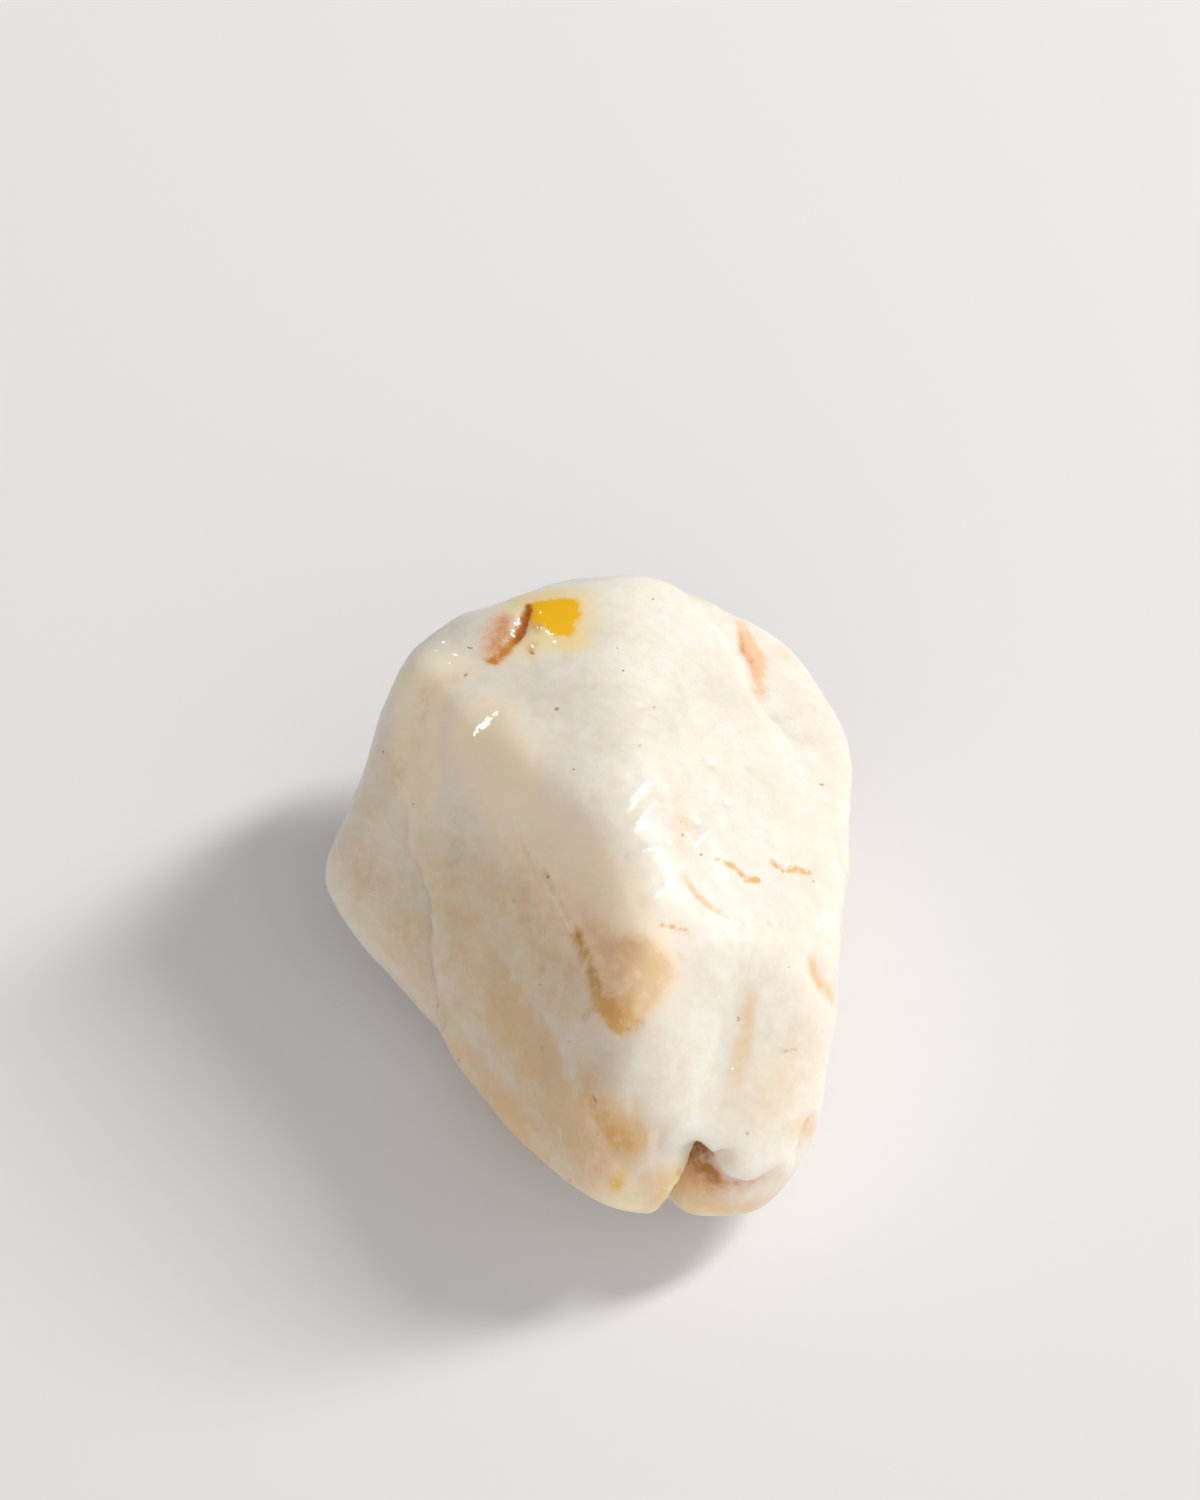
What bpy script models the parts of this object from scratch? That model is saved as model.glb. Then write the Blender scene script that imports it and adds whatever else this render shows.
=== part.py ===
"""A tumbled nugget of milky common opal, one solid stone that rests on a small flat spot.

Units are metres, +Z is up, and the origin is on the table under the middle of the stone's box.
The stone is a rounded hull of worn facets, with its clefts, steps and ridges worked into it.
"""

import math

import bmesh
import bpy
import numpy as np

MM = 0.001

# Driving dimensions, in millimetres from the heart of the stone, which is the point that the facets are set
# out from. The table plane lies HEART_HEIGHT below it and cuts the flat spot that the stone rests on.
HEART_HEIGHT = 6.6
EDGE_SHARPNESS = 24.0  # how crisply two facets meet: 8 is a pebble, 40 a freshly broken corner
SWELL_HEIGHT = 0.06  # soft unevenness of the tumbled skin
SWELL_LENGTHS = (2.8, 6.4)  # shortest and longest wave of it
SWELL_COUNT = 7
SWELL_SEED = 4

BALL_DIVISIONS = 7  # of the fine ball that the skin is worked on
MOST_TRIANGLES = 9600  # left once the finished skin is thinned

OPAL_COLOUR = (0.86, 0.80, 0.69, 1)  # milky cream
OPAL_ROUGHNESS = 0.25

# Worn facets: the compass bearing that each one faces, in degrees from +X towards +Y, the tilt above the
# horizon, in degrees, and the distance from the heart, in millimetres.
BODY_FACETS = {
    "crown": (103, 82, 7.1),
    "sunny_slope": (14, 54, 6.7),
    "slope_front": (1, 50.5, 6.8),
    "crown_shoulder": (24, 71, 7.05),
    "ridge_wear": (-68, 74.5, 7.46),
    "tan_brow": (-143, 51, 6.2),
    "left_flank": (-144, 36, 5.4),
    "beak_side": (-136, 31, 7.9),
    "beak_tuck": (-125, -25, 11.5),
    "toe_side": (-33, -15, 13.7),
    "right_cheek": (-5, -2, 10.1),
    "back_right": (27, 17, 12.1),
    "back_right_brow": (58, 31, 12.9),
    "back_brow": (90, 34, 12.5),
    "back_left_brow": (122, 31, 11.7),
    "upper_left_cheek": (165, 11, 10.3),
    "far_left_tuck": (-159, -17, 10.3),
    "left_foot": (-147, -24, 9.05),
    "under_back": (88, -62, 7.4),
    "under_back_wall": (95, -28, 11.2),
    "under_left": (178, -58, 7.95),
    "under_flank": (-145, -58, 8.3),
    "under_nose": (-117, -56, 9.05),
    "under_toe": (-75, -78, 8.0),
    "under_right": (2, -55, 8.5),
    "sole": (0, -90, 6.9),
}

# The front facets are worn into the stone after its beak ridge has been raised.
FRONT_FACETS = {
    "apron": (-34, 40, 9.0),
    "nose_strip": (-47, 46.5, 8.75),
    "beak_front": (-83, 28, 12.05),
    "beak_under": (-98, -34, 13.5),
    "toe_front": (-68, -8, 16.0),
}

# The beak ridge, given in the same way as the relief below, along a path over the body.
BEAK_RIDGE = (2.5, 3.0, (
    (-90, 34, 0.0),
    (-89, 27, 0.8),
    (-87, 20, 1.6),
    (-86, 11, 2.1),
    (-85, 7, 1.7),
    (-85, 1, 0.9),
    (-84, -2, 0.0),
))

# Breaks, hollows and ridges of the skin. Each one follows a path, walked with the stone underfoot: how far it
# spreads to the left of the path and to the right, in millimetres, then the bearing and tilt of each point
# and how far the skin rises there, or sinks if negative. A groove that spreads far to one side makes a step.
RELIEF = {
    "cleft": (0.22, 0.8, (
        (-82.5, -29, 0.0),
        (-82.5, -20, -1.5),
        (-79.5, -11.5, -1.9),
        (-77, -8, -1.9),
        (-74, -6, -1.8),
        (-71.5, -4.5, -1.6),
        (-69.5, -3.5, -1.1),
    )),
    "toe_lip": (0.2, 1.4, (
        (-71, -3, -1.2),
        (-70.5, -5, -1.0),
        (-68.5, -7, -0.8),
        (-65, -8.5, -0.6),
        (-61, -9, -0.4),
        (-57, -9.5, 0.0),
    )),
    "nose_groove": (0.35, 0.25, (
        (-79, 1, -0.1),
        (-78, 4, -0.18),
        (-75, 6, 0.0),
    )),
    "back_crease": (0.2, 3.0, (
        (30, 6, 0.0),
        (36, 6.5, -0.3),
        (43, 7.5, -0.7),
        (49, 9, -1.1),
        (55, 9.5, -1.3),
        (59.5, 9, -1.2),
        (64, 10, -0.9),
        (70, 11, -0.6),
        (76, 9, -0.3),
        (80, 2, 0.0),
    )),
    "left_ledge": (0.16, 2.4, (
        (166, 13, 0.0),
        (169, 10, -0.35),
        (172, 7.5, -0.5),
        (178, 5, -0.6),
        (-176, 3.5, -0.65),
        (-167, -1.5, -0.6),
        (-162, -5.5, -0.55),
        (-154, -10, -0.5),
        (-148, -13.5, -0.45),
        (-139, -19, -0.35),
        (-132, -31, 0.0),
    )),
    "far_left_ledge": (0.2, 1.2, (
        (170, 5, 0.0),
        (173, 3, -0.2),
        (176.5, 1, -0.25),
        (-178.5, -0.5, -0.2),
        (-172, -2.5, 0.0),
    )),
    "brow_crease": (0.2, 1.5, (
        (164, 54, 0.0),
        (-168, 57.5, -0.15),
        (-153, 54, -0.25),
        (-141, 52, -0.3),
        (-117, 45, -0.35),
        (-99, 35, -0.4),
        (-92, 28, -0.35),
        (-90, 22, -0.2),
    )),
    "brow_edge": (0.25, 0.9, (
        (-89, 21, -0.1),
        (-85, 19, -0.25),
        (-79, 23, -0.2),
        (-72, 31, 0.0),
    )),
    "apron_flute": (1.3, 1.1, (
        (-45, 17, 0.0),
        (-52, 15, -0.25),
        (-58, 10, -0.4),
        (-63, 7, -0.4),
        (-67, 4, -0.4),
        (-69, 1, -0.3),
    )),
    "right_dent": (0.8, 0.2, (
        (-30, 11, -0.05),
        (-32, 7, -0.2),
        (-33, 1, -0.1),
    )),
    "right_chip": (0.8, 0.4, (
        (-47, -9, 0.0),
        (-51, -9, -0.4),
        (-54, -10, -0.4),
    )),
    "crown_pit": (0.18, 0.22, (
        (106, 30, -0.15),
        (109, 34, -0.25),
        (113, 36, -0.05),
    )),
}


def facing(bearing, tilt):
    """The outward unit vector of a facet or point that lies on this bearing and tilt, in degrees."""
    bearing, tilt = math.radians(bearing), math.radians(tilt)
    return math.cos(tilt) * math.cos(bearing), math.cos(tilt) * math.sin(bearing), math.sin(tilt)


def hull(directions, facets):
    """The rounded hull of these facets along each unit vector, in millimetres from the heart."""
    normals = np.array([facing(bearing, tilt) for bearing, tilt, _ in facets.values()])
    distances = np.array([distance for _, _, distance in facets.values()])
    reach = np.clip(directions @ normals.T / distances, 0.001, None)
    return (reach**EDGE_SHARPNESS).sum(axis=1) ** (-1 / EDGE_SHARPNESS)


def rise(radius_along, directions, left, right, path):
    """How far one piece of relief lifts the surface that radius_along gives, along each unit vector."""
    stops = np.array([facing(bearing, tilt) for bearing, tilt, _ in path])
    stops *= radius_along(stops)[:, None]
    lifts = [lift for _, _, lift in path]
    skin = directions * radius_along(directions)[:, None]
    height = np.zeros(len(skin))
    for start, end, start_lift, end_lift in zip(stops, stops[1:], lifts, lifts[1:]):
        stride = end - start
        share = np.clip((skin - start) @ stride / (stride @ stride), 0, 1)
        gap = skin - start - share[:, None] * stride
        distance = np.linalg.norm(gap, axis=1) + 1e-9
        rightward = np.cross(stride, directions)
        rightward /= np.linalg.norm(rightward, axis=1)[:, None] + 1e-9
        side = (gap * rightward).sum(axis=1) / distance
        spread = (left + right) / 2 + side * (right - left) / 2
        lift = start_lift + share * (end_lift - start_lift)
        lift *= np.exp(-((distance / spread) ** 2))
        height = np.where(np.abs(lift) > np.abs(height), lift, height)
    return height


def body_radius(directions):
    return hull(directions, BODY_FACETS)


def worn_radius(directions):
    """The stone as the facets leave it, before any relief, in millimetres from the heart."""
    body = body_radius(directions) + rise(body_radius, directions, *BEAK_RIDGE)
    front = hull(directions, FRONT_FACETS)
    return (body**-EDGE_SHARPNESS + front**-EDGE_SHARPNESS) ** (-1 / EDGE_SHARPNESS)


def swell(skin):
    """Soft unevenness: a few waves that cross the stone in seeded directions."""
    random = np.random.default_rng(SWELL_SEED)
    height = np.zeros(len(skin))
    for _ in range(SWELL_COUNT):
        heading = random.normal(size=3)
        heading /= np.linalg.norm(heading)
        length = random.uniform(*SWELL_LENGTHS)
        height += np.sin(skin @ heading * math.tau / length + random.uniform(0, math.tau))
    return height * SWELL_HEIGHT / math.sqrt(SWELL_COUNT)


def stone_points(directions):
    """The finished skin of the stone along each unit vector, in millimetres from the heart."""
    radius = worn_radius(directions)
    height = swell(directions * radius[:, None])
    for relief in RELIEF.values():
        height += rise(worn_radius, directions, *relief)
    return directions * (radius + height)[:, None]


def clear_scene():
    for obj in list(bpy.data.objects):
        bpy.data.objects.remove(obj)


def opal_material():
    material = bpy.data.materials.new("opal")
    material.use_nodes = True
    shader = material.node_tree.nodes["Principled BSDF"]
    shader.inputs["Base Color"].default_value = OPAL_COLOUR
    shader.inputs["Roughness"].default_value = OPAL_ROUGHNESS
    shader.inputs["Metallic"].default_value = 0
    return material


def make_opal():
    """A ball whose points are moved out to the skin of the stone, and cut off flat where it stands."""
    ball = bmesh.new()
    bmesh.ops.create_icosphere(ball, subdivisions=BALL_DIVISIONS, radius=1)
    directions = np.array([vertex.co for vertex in ball.verts])
    directions /= np.linalg.norm(directions, axis=1)[:, None]
    for vertex, point in zip(ball.verts, stone_points(directions)):
        vertex.co = (*point[:2], point[2] + HEART_HEIGHT)
    everything = ball.verts[:] + ball.edges[:] + ball.faces[:]
    cut = bmesh.ops.bisect_plane(
        ball, geom=everything, plane_co=(0, 0, 0), plane_no=(0, 0, 1), clear_inner=True
    )
    rim = [edge for edge in cut["geom_cut"] if isinstance(edge, bmesh.types.BMEdge)]
    bmesh.ops.contextual_create(ball, geom=rim)
    bmesh.ops.triangulate(ball, faces=ball.faces[:])
    corners = np.array([vertex.co for vertex in ball.verts])
    middle = (corners.min(axis=0) + corners.max(axis=0)) / 2
    bmesh.ops.translate(ball, verts=ball.verts, vec=(-middle[0], -middle[1], 0))
    bmesh.ops.scale(ball, verts=ball.verts, vec=(MM, MM, MM))
    bmesh.ops.recalc_face_normals(ball, faces=ball.faces)
    mesh = bpy.data.meshes.new("opal")
    ball.to_mesh(mesh)
    ball.free()
    mesh.shade_smooth()
    mesh.materials.append(opal_material())
    return bpy.data.objects.new("opal", mesh)


def main():
    clear_scene()
    opal = make_opal()
    thin = opal.modifiers.new("thin", "DECIMATE")
    thin.ratio = MOST_TRIANGLES / len(opal.data.polygons)
    collection = bpy.data.collections.new("opal_nugget")
    bpy.context.scene.collection.children.link(collection)
    collection.objects.link(opal)


if __name__ == "__main__":
    main()
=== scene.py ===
import math

import bmesh
import bpy
import numpy as np
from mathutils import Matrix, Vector


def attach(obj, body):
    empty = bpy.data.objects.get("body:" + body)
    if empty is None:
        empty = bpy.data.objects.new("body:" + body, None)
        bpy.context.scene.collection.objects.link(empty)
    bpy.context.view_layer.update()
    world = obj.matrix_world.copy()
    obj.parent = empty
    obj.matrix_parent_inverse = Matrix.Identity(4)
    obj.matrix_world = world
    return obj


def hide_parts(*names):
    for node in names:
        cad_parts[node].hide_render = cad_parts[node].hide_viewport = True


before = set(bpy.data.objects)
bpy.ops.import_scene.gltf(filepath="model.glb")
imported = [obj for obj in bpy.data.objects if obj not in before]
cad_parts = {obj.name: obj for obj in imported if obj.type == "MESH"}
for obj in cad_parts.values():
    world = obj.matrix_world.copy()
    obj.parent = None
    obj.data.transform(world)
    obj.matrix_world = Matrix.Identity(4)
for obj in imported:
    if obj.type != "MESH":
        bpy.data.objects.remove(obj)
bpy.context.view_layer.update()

scene = bpy.context.scene
MM = 0.001


# ---------------------------------------------------------------------------------------------------------
# The camera. The stone is looked down on from in front of its beak, from arm's length, with a long lens
# that takes in about two stones' length of the surface around it.
CAMERA_ELEVATION = math.radians(56)
CAMERA_DISTANCE = 400 * MM
VIEW_HEIGHT = 62.5 * MM
SENSOR = 36
NEAREST_SEEN = 0.01
FARTHEST_SEEN = 10
VIEW_CENTRE = Vector((0.232, 11.317, 0)) * MM

look_back = Vector((0, -math.cos(CAMERA_ELEVATION), math.sin(CAMERA_ELEVATION)))
lens = bpy.data.cameras.new("camera")
lens.sensor_width = SENSOR
lens.lens = SENSOR * CAMERA_DISTANCE / VIEW_HEIGHT
lens.clip_start = NEAREST_SEEN
lens.clip_end = FARTHEST_SEEN
camera = bpy.data.objects.new("camera", lens)
camera.location = VIEW_CENTRE + look_back * CAMERA_DISTANCE
camera.rotation_euler = look_back.to_track_quat("Z", "Y").to_euler()
scene.collection.objects.link(camera)
scene.camera = camera


# ---------------------------------------------------------------------------------------------------------
# The table and the light. A plain pale sheet with one tall soft light from the right and behind, and an
# even glow all round that fills the shadow.
FLOOR_HALF = 1.5
FLOOR_DROP = 0.02 * MM
FLOOR_COLOUR = (0.87, 0.855, 0.862, 1)
FLOOR_ROUGHNESS = 0.9
FLOOR_SHINE = 0.2
LIGHT_BEARING = math.radians(28)
LIGHT_ELEVATION = math.radians(36)
LIGHT_DISTANCE = 600 * MM
LIGHT_SIZE = (100 * MM, 240 * MM)
LIGHT_POWER = 2.6
LIGHT_COLOUR = (1.0, 0.985, 0.96)
GLOW_COLOUR = (1.0, 0.985, 0.975, 1)
GLOW_STRENGTH = 0.495
# The side that the glow is brightest on, and how much brighter.
GLOW_SIDE = Vector((0.3, -0.95, 0))
GLOW_LEAN = 0.9

sheet = bmesh.new()
bmesh.ops.create_grid(sheet, x_segments=1, y_segments=1, size=FLOOR_HALF)
bmesh.ops.translate(sheet, verts=sheet.verts, vec=(0, 0, -FLOOR_DROP))
floor_mesh = bpy.data.meshes.new("floor")
sheet.to_mesh(floor_mesh)
sheet.free()
floor_paint = bpy.data.materials.new("pale sheet")
floor_paint.use_nodes = True
floor_shader = floor_paint.node_tree.nodes["Principled BSDF"]
floor_shader.inputs["Base Color"].default_value = FLOOR_COLOUR
floor_shader.inputs["Roughness"].default_value = FLOOR_ROUGHNESS
floor_shader.inputs["Specular IOR Level"].default_value = FLOOR_SHINE
floor_mesh.materials.append(floor_paint)
floor = bpy.data.objects.new("floor", floor_mesh)
scene.collection.objects.link(floor)

to_light = Vector((
    math.cos(LIGHT_ELEVATION) * math.cos(LIGHT_BEARING),
    math.cos(LIGHT_ELEVATION) * math.sin(LIGHT_BEARING),
    math.sin(LIGHT_ELEVATION),
))
softbox = bpy.data.lights.new("softbox", "AREA")
softbox.shape = "RECTANGLE"
softbox.size, softbox.size_y = LIGHT_SIZE
softbox.energy = LIGHT_POWER
softbox.color = LIGHT_COLOUR
softbox_object = bpy.data.objects.new("softbox", softbox)
softbox_object.location = to_light * LIGHT_DISTANCE
softbox_object.rotation_euler = to_light.to_track_quat("Z", "Y").to_euler()
scene.collection.objects.link(softbox_object)

glow = bpy.data.worlds.new("glow")
glow.use_nodes = True
background = glow.node_tree.nodes["Background"]
background.inputs["Color"].default_value = GLOW_COLOUR
around = glow.node_tree.nodes.new("ShaderNodeTexCoord")
towards = glow.node_tree.nodes.new("ShaderNodeVectorMath")
towards.operation = "DOT_PRODUCT"
towards.inputs[1].default_value = GLOW_SIDE
lean = glow.node_tree.nodes.new("ShaderNodeMath")
lean.operation = "MULTIPLY_ADD"
lean.inputs[1].default_value = GLOW_STRENGTH * GLOW_LEAN
lean.inputs[2].default_value = GLOW_STRENGTH
glow.node_tree.links.new(around.outputs["Generated"], towards.inputs[0])
glow.node_tree.links.new(towards.outputs["Value"], lean.inputs[0])
glow.node_tree.links.new(lean.outputs["Value"], background.inputs["Strength"])
scene.world = glow
scene.view_settings.view_transform = "Standard"


# ---------------------------------------------------------------------------------------------------------
# The stone. One nugget of milky common opal, broken from a vein and tumbled until its facets were worn
# round and softly glossy. Light sinks into its milk, and iron has soaked in along its breaks, where it left
# tan, yellow and rust stains, fine veins and specks.

# All sizes are in millimetres from the heart of the stone, the point that its facets are set out from, and
# every place on its skin is a bearing and a tilt in degrees, seen from there.
HEART_HEIGHT = 6.6
EDGE_SHARPNESS = 24.0
# The height, shortest and longest length, number and seed of the waves that leave the faces uneven, and of
# the finer ones that the solid leaves out.
SWELL = (0.06, (2.8, 6.4), 7, 4)
FINE_SWELL = (0.014, (0.9, 2.2), 12, 21)
# The skin is a cube of patches blown up to a ball, then shrunk onto the stone.
PATCHES_ALONG_CUBE = 128
LEAST_REACH = 0.001
NEXT_TO_NOTHING = 1e-9

# The facets: each one's bearing and tilt, and its distance from the heart. Those in front are cut in after
# the ridge of the beak has been raised.
BODY_FACETS = {
    "crown": (103, 82, 7.1),
    "sunny_slope": (14, 54, 6.7),
    "slope_front": (1, 50.5, 6.8),
    "crown_shoulder": (24, 71, 7.05),
    "ridge_wear": (-68, 74.5, 7.46),
    "tan_brow": (-143, 51, 6.2),
    "left_flank": (-144, 36, 5.4),
    "beak_side": (-136, 31, 7.9),
    "beak_tuck": (-125, -25, 11.5),
    "toe_side": (-33, -15, 13.7),
    "right_cheek": (-5, -2, 10.1),
    "back_right": (27, 17, 12.1),
    "back_right_brow": (58, 31, 12.9),
    "back_brow": (90, 34, 12.5),
    "back_left_brow": (122, 31, 11.7),
    "upper_left_cheek": (165, 11, 10.3),
    "far_left_tuck": (-159, -17, 10.3),
    "left_foot": (-147, -24, 9.05),
    "under_back": (88, -62, 7.4),
    "under_back_wall": (95, -28, 11.2),
    "under_left": (178, -58, 7.95),
    "under_flank": (-145, -58, 8.3),
    "under_nose": (-117, -56, 9.05),
    "under_toe": (-75, -78, 8.0),
    "under_right": (2, -55, 8.5),
    "sole": (0, -90, 6.9),
}
FRONT_FACETS = {
    "apron": (-34, 40, 9.0),
    "nose_strip": (-47, 46.5, 8.75),
    "beak_front": (-83, 28, 12.05),
    "beak_under": (-98, -34, 13.5),
    "toe_front": (-68, -8, 16.0),
}
# The ridge's spread to the left and to the right, then each point's bearing, tilt and height.
BEAK_RIDGE = (2.5, 3.0, (
    (-90, 34, 0.0),
    (-89, 27, 0.8),
    (-87, 20, 1.6),
    (-86, 11, 2.1),
    (-85, 7, 1.7),
    (-85, 1, 0.9),
    (-84, -2, 0.0),
))

# Breaks, hollows and ridges of the skin. Each follows a path, walked with the stone underfoot: its spread
# to the left and to the right of the path, then each point's bearing and tilt and how far the skin rises.
RELIEF = {
    "cleft": (0.22, 0.8, (
        (-82.5, -29, 0.0),
        (-82.5, -20, -1.5),
        (-79.5, -11.5, -1.9),
        (-77, -8, -1.9),
        (-74, -6, -1.8),
        (-71.5, -4.5, -1.6),
        (-69.5, -3.5, -1.1),
    )),
    "toe_lip": (0.2, 1.4, (
        (-71, -3, -1.2),
        (-70.5, -5, -1.0),
        (-68.5, -7, -0.8),
        (-65, -8.5, -0.6),
        (-61, -9, -0.4),
        (-57, -9.5, 0.0),
    )),
    "nose_groove": (0.35, 0.25, (
        (-79, 1, -0.1),
        (-78, 4, -0.18),
        (-75, 6, 0.0),
    )),
    "back_crease": (0.2, 3.0, (
        (30, 6, 0.0),
        (36, 6.5, -0.3),
        (43, 7.5, -0.7),
        (49, 9, -1.1),
        (55, 9.5, -1.3),
        (59.5, 9, -1.2),
        (64, 10, -0.9),
        (70, 11, -0.6),
        (76, 9, -0.3),
        (80, 2, 0.0),
    )),
    "left_ledge": (0.16, 2.4, (
        (166, 13, 0.0),
        (169, 10, -0.35),
        (172, 7.5, -0.5),
        (178, 5, -0.6),
        (-176, 3.5, -0.65),
        (-167, -1.5, -0.6),
        (-162, -5.5, -0.55),
        (-154, -10, -0.5),
        (-148, -13.5, -0.45),
        (-139, -19, -0.35),
        (-132, -31, 0.0),
    )),
    "far_left_ledge": (0.2, 1.2, (
        (170, 5, 0.0),
        (173, 3, -0.2),
        (176.5, 1, -0.25),
        (-178.5, -0.5, -0.2),
        (-172, -2.5, 0.0),
    )),
    "brow_crease": (0.2, 1.5, (
        (164, 54, 0.0),
        (-168, 57.5, -0.15),
        (-153, 54, -0.25),
        (-141, 52, -0.3),
        (-117, 45, -0.35),
        (-99, 35, -0.4),
        (-92, 28, -0.35),
        (-90, 22, -0.2),
    )),
    "brow_edge": (0.25, 0.9, (
        (-89, 21, -0.1),
        (-85, 19, -0.25),
        (-79, 23, -0.2),
        (-72, 31, 0.0),
    )),
    "apron_flute": (1.3, 1.1, (
        (-45, 17, 0.0),
        (-52, 15, -0.25),
        (-58, 10, -0.4),
        (-63, 7, -0.4),
        (-67, 4, -0.4),
        (-69, 1, -0.3),
    )),
    "right_dent": (0.8, 0.2, (
        (-30, 11, -0.05),
        (-32, 7, -0.2),
        (-33, 1, -0.1),
    )),
    "right_chip": (0.8, 0.4, (
        (-47, -9, 0.0),
        (-51, -9, -0.4),
        (-54, -10, -0.4),
    )),
    "crown_pit": (0.18, 0.22, (
        (106, 30, -0.15),
        (109, 34, -0.25),
        (113, 36, -0.05),
    )),
}

# Finer wear than the solid has: fuller ends on the left, chips on the outline, steps across the faces, and
# the scar of a small flake on the ridge, whose floor is stepped and whose rim is raised.
WEAR = {
    "left_tip": (1.2, 1.2, (
        (158, -4, 0.1),
        (169, -8.3, 0.4),
        (173, -10.8, 0.45),
        (178, -12.5, 0.35),
        (-173, -16, 0.25),
    )),
    "crown_left": (1.2, 1.2, (
        (128, 19, 0.1),
        (118, 22, 0.35),
        (109, 24, 0.15),
    )),
    "shoulder_chip": (0.2, 0.2, (
        (137, 12, -0.12),
        (137, 6, -0.12),
    )),
    "cheek_chip_high": (0.2, 0.2, (
        (140, 4, -0.12),
        (139.5, -5, -0.12),
    )),
    "cheek_chip_low": (0.2, 0.25, (
        (148.5, 2, -0.14),
        (148, -7, -0.14),
    )),
    "right_chip_high": (0.3, 0.35, (
        (9, 3, -0.04),
        (5.5, 0, -0.2),
        (4, -5, -0.04),
    )),
    "brow_spall": (0.1, 0.7, (
        (143, 51, 0.0),
        (142, 48.5, -0.12),
        (141, 45, -0.1),
        (143, 41, 0.0),
    )),
    "plate_top": (0.12, 0.7, (
        (169, 15, 0.0),
        (172, 24, -0.08),
        (180, 30, -0.1),
        (-174, 32, -0.08),
        (-168, 28, 0.0),
    )),
    "flank_scar": (0.12, 0.5, (
        (-165, 14, 0.0),
        (-157, 10, -0.08),
        (-152, 3, -0.06),
        (-148, -2, 0.0),
    )),
    "nose_step": (0.5, 0.12, (
        (-84, 17, 0.0),
        (-83, 12, -0.08),
        (-82.5, 7, -0.1),
        (-81, 3, 0.0),
    )),
    "flake_floor": (0.9, 0.9, (
        (-2, 62, -0.03),
        (-24, 60, -0.05),
    )),
    "flake_step_high": (0.25, 0.2, (
        (-52, 75.7, 0.02),
        (-15, 76.5, 0.08),
        (15.8, 71.2, 0.05),
    )),
    "flake_step_low": (0.22, 0.2, (
        (-54.2, 69.7, 0.04),
        (-37.5, 70.9, 0.08),
        (-6.7, 69.3, 0.05),
    )),
    "flake_step_front": (0.2, 0.2, (
        (-56.7, 62.3, 0.05),
        (-47.8, 60.8, 0.05),
    )),
    "flake_rim": (0.25, 0.25, (
        (-63.6, 48.8, 0.02),
        (-57, 50, 0.045),
        (-49, 50.4, 0.01),
        (-41, 51.7, 0.04),
        (-27.5, 48.9, 0.02),
    )),
    "flake_rim_side": (0.2, 0.2, (
        (-21.9, 50.2, 0.06),
        (-10.5, 46.9, 0.06),
    )),
    "apron_edge": (0.4, 0.9, (
        (-71.7, 34.9, 0.02),
        (-68.4, 38.4, 0.04),
        (-49.9, 29.5, 0.06),
        (-32, 17.5, 0.06),
        (-12.6, -1.3, 0.03),
    )),
    "cheek_fold": (0.3, 0.3, (
        (160, 24, 0.04),
        (170, 8, -0.08),
        (-178, -4, 0.05),
    )),
    "shoulder_fold": (0.35, 0.25, (
        (140, 33, -0.05),
        (152, 27, -0.12),
        (168, 22, -0.05),
    )),
    "flank_fold": (0.3, 0.6, (
        (-160, 45, 0.03),
        (-135, 33, 0.09),
        (-112, 20, 0.05),
    )),
    "flank_fold_low": (0.3, 0.6, (
        (-140, 2, 0.03),
        (-118, -2, 0.08),
        (-104, -4, 0.03),
    )),
    "crown_pit": (0.16, 0.16, (
        (106.2, 29.9, -0.05),
        (111.6, 35.2, -0.12),
        (116, 37, -0.03),
    )),
}


def facing(bearing, tilt):
    """The outward unit vector of a facet or point that lies on this bearing and tilt."""
    bearing, tilt = math.radians(bearing), math.radians(tilt)
    return math.cos(tilt) * math.cos(bearing), math.cos(tilt) * math.sin(bearing), math.sin(tilt)


def hull(directions, facets):
    """The rounded hull of these facets along each unit vector."""
    normals = np.array([facing(bearing, tilt) for bearing, tilt, _ in facets.values()])
    distances = np.array([distance for _, _, distance in facets.values()])
    reach = np.clip(directions @ normals.T / distances, LEAST_REACH, None)
    return (reach**EDGE_SHARPNESS).sum(axis=1) ** (-1 / EDGE_SHARPNESS)


def rise(radius_along, directions, left, right, path):
    """How far a stroke along this path lifts the surface that radius_along gives, at each unit vector."""
    stops = np.array([facing(bearing, tilt) for bearing, tilt, _ in path])
    stops *= radius_along(stops)[:, None]
    lifts = [lift for _, _, lift in path]
    skin = directions * radius_along(directions)[:, None]
    height = np.zeros(len(skin))
    for start, end, start_lift, end_lift in zip(stops, stops[1:], lifts, lifts[1:]):
        stride = end - start
        share = np.clip((skin - start) @ stride / (stride @ stride), 0, 1)
        gap = skin - start - share[:, None] * stride
        distance = np.linalg.norm(gap, axis=1) + NEXT_TO_NOTHING
        rightward = np.cross(stride, directions)
        rightward /= np.linalg.norm(rightward, axis=1)[:, None] + NEXT_TO_NOTHING
        side = (gap * rightward).sum(axis=1) / distance
        spread = (left + right) / 2 + side * (right - left) / 2
        lift = start_lift + share * (end_lift - start_lift)
        lift *= np.exp(-((distance / spread) ** 2))
        height = np.where(np.abs(lift) > np.abs(height), lift, height)
    return height


def body_radius(directions):
    """The stone as its body facets leave it, before the ridge is raised."""
    return hull(directions, BODY_FACETS)


def worn_radius(directions):
    """The stone as the facets leave it, before any relief."""
    body = body_radius(directions) + rise(body_radius, directions, *BEAK_RIDGE)
    front = hull(directions, FRONT_FACETS)
    return (body**-EDGE_SHARPNESS + front**-EDGE_SHARPNESS) ** (-1 / EDGE_SHARPNESS)


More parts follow.
